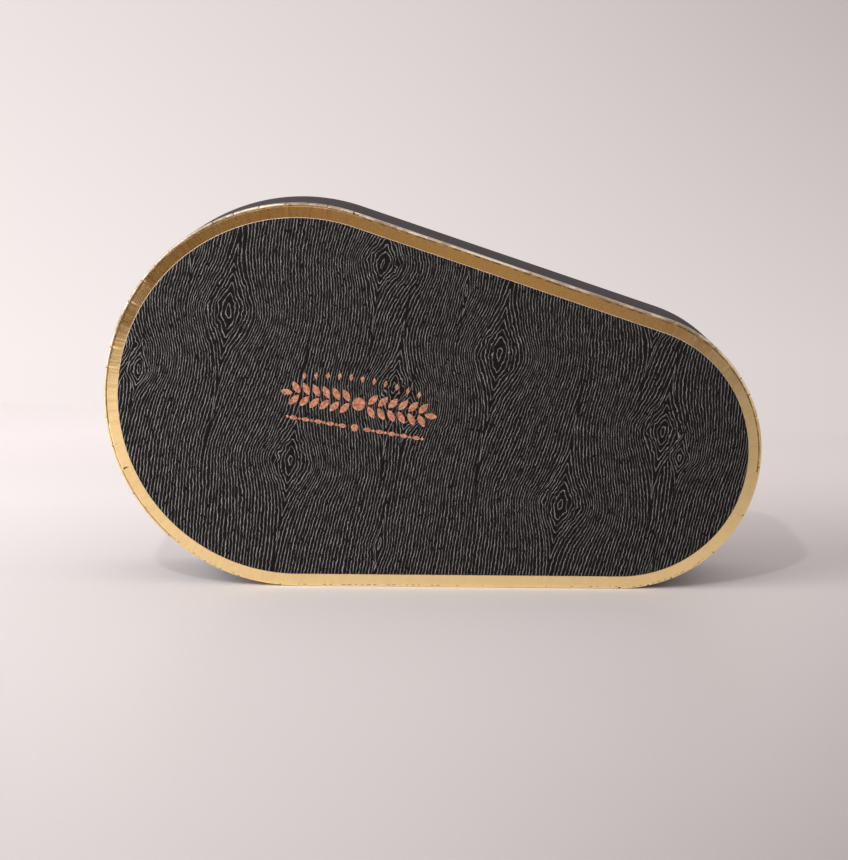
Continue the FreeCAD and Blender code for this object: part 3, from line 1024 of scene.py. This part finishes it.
card = stage_sheet(
    "dim_card",
    [
        (-DIM_HALF, DIM_AT, DIM_LOW),
        (DIM_HALF, DIM_AT, DIM_LOW),
        (DIM_HALF, DIM_AT, DIM_HIGH),
        (-DIM_HALF, DIM_AT, DIM_HIGH),
    ],
    dim_card,
)
card.visible_camera = False
card.visible_shadow = False

# Light of the studio: a pale backdrop all round, brighter to the left, and a plain room above it.
# A softbox stands at the left, and a small key lamp high at the left of the camera throws the crisp shadow.
BACKDROP_LEVEL = 0.825
BACKDROP_SIDE_FALL = 0.74
BACKDROP_LIFT_FROM = 0.115
BACKDROP_LIFT_FALL = 0.82
BACKDROP_CORNER_FALL = 1.8
BACKDROP_LEAST = 0.40
BACKDROP_MOST = 0.955
ROOM_LEVEL = 0.77
ROOM_RIGHT = 0.35
ROOM_BACK = 0.20
ROOM_FROM = (0.05, 0.25)
LIGHT_TINT = (1.0, 0.918, 0.905)
world = bpy.data.worlds.new("studio")
bpy.context.scene.world = world
surround = Finish("studio", owner=world)
aim = surround.node("ShaderNodeTexCoord", {}, [], "Generated")
aim_x, aim_y, aim_z = surround.parts(aim)
lift = (aim_z + BACKDROP_LIFT_FROM).math("MAXIMUM", 0.0)
corner = lift * aim_x.math("MAXIMUM", 0.0) * BACKDROP_CORNER_FALL
bright = BACKDROP_LEVEL - aim_x * BACKDROP_SIDE_FALL - lift * BACKDROP_LIFT_FALL - corner
bright = bright.within(BACKDROP_LEAST, BACKDROP_MOST)
room = ROOM_LEVEL + aim_x * ROOM_RIGHT - aim_y * ROOM_BACK
bright = bright + aim_z.above(*ROOM_FROM) * (room - bright)
tint = surround.node("ShaderNodeCombineXYZ", {}, [bright * share for share in LIGHT_TINT])
surround.give(Color=tint, Strength=1.0)

SOFTBOX_PLACE = Vector((-0.916, -0.506, 0.45))
SOFTBOX_AIM = Vector((0.0, 0.0, 0.05))
SOFTBOX_SIZE = 1.0
SOFTBOX_WATTS = 15.6
softbox_lamp = bpy.data.lights.new("softbox", "AREA")
softbox_lamp.shape = "SQUARE"
softbox_lamp.size = SOFTBOX_SIZE
softbox_lamp.energy = SOFTBOX_WATTS
softbox = bpy.data.objects.new("softbox", softbox_lamp)
softbox.location = SOFTBOX_PLACE
softbox.rotation_euler = (SOFTBOX_AIM - SOFTBOX_PLACE).to_track_quat("-Z", "Y").to_euler()
bpy.context.scene.collection.objects.link(softbox)

KEY_PLACE = Vector((-0.266, -0.849, 0.860))
KEY_SIZE = 0.025
KEY_WATTS = 12.5
key_lamp = bpy.data.lights.new("key_lamp", "POINT")
key_lamp.shadow_soft_size = KEY_SIZE
key_lamp.energy = KEY_WATTS
key = bpy.data.objects.new("key_lamp", key_lamp)
key.location = KEY_PLACE
bpy.context.scene.collection.objects.link(key)

# Camera at the photograph's angle: a long lens, a little above the box and tipped down.
# Its place and turns come from a fit of the box's outline.
LENS_PIXELS = 2300.0
FRAME_LONG_SIDE = 860.0
SENSOR = 36.0
FARTHEST = 20.0
CAMERA_PLACE = (-0.00424, -0.85067, 0.18318)
CAMERA_TURNS = (-0.06, -8.604, -0.512)
camera_data = bpy.data.cameras.new("photo_camera")
camera_data.sensor_width = SENSOR
camera_data.lens = LENS_PIXELS * SENSOR / FRAME_LONG_SIDE
camera_data.clip_end = FARTHEST
camera = bpy.data.objects.new("photo_camera", camera_data)
yaw, pitch, roll = (math.radians(degrees) for degrees in CAMERA_TURNS)
camera.matrix_world = (
    Matrix.Translation(CAMERA_PLACE)
    @ Matrix.Rotation(yaw, 4, "Z")
    @ Matrix.Rotation(pitch, 4, "X")
    @ Matrix.Rotation(roll, 4, "Y")
    @ Matrix.Rotation(math.pi / 2, 4, "X")
)
bpy.context.scene.collection.objects.link(camera)
bpy.context.scene.camera = camera
bpy.context.scene.view_settings.view_transform = "Standard"
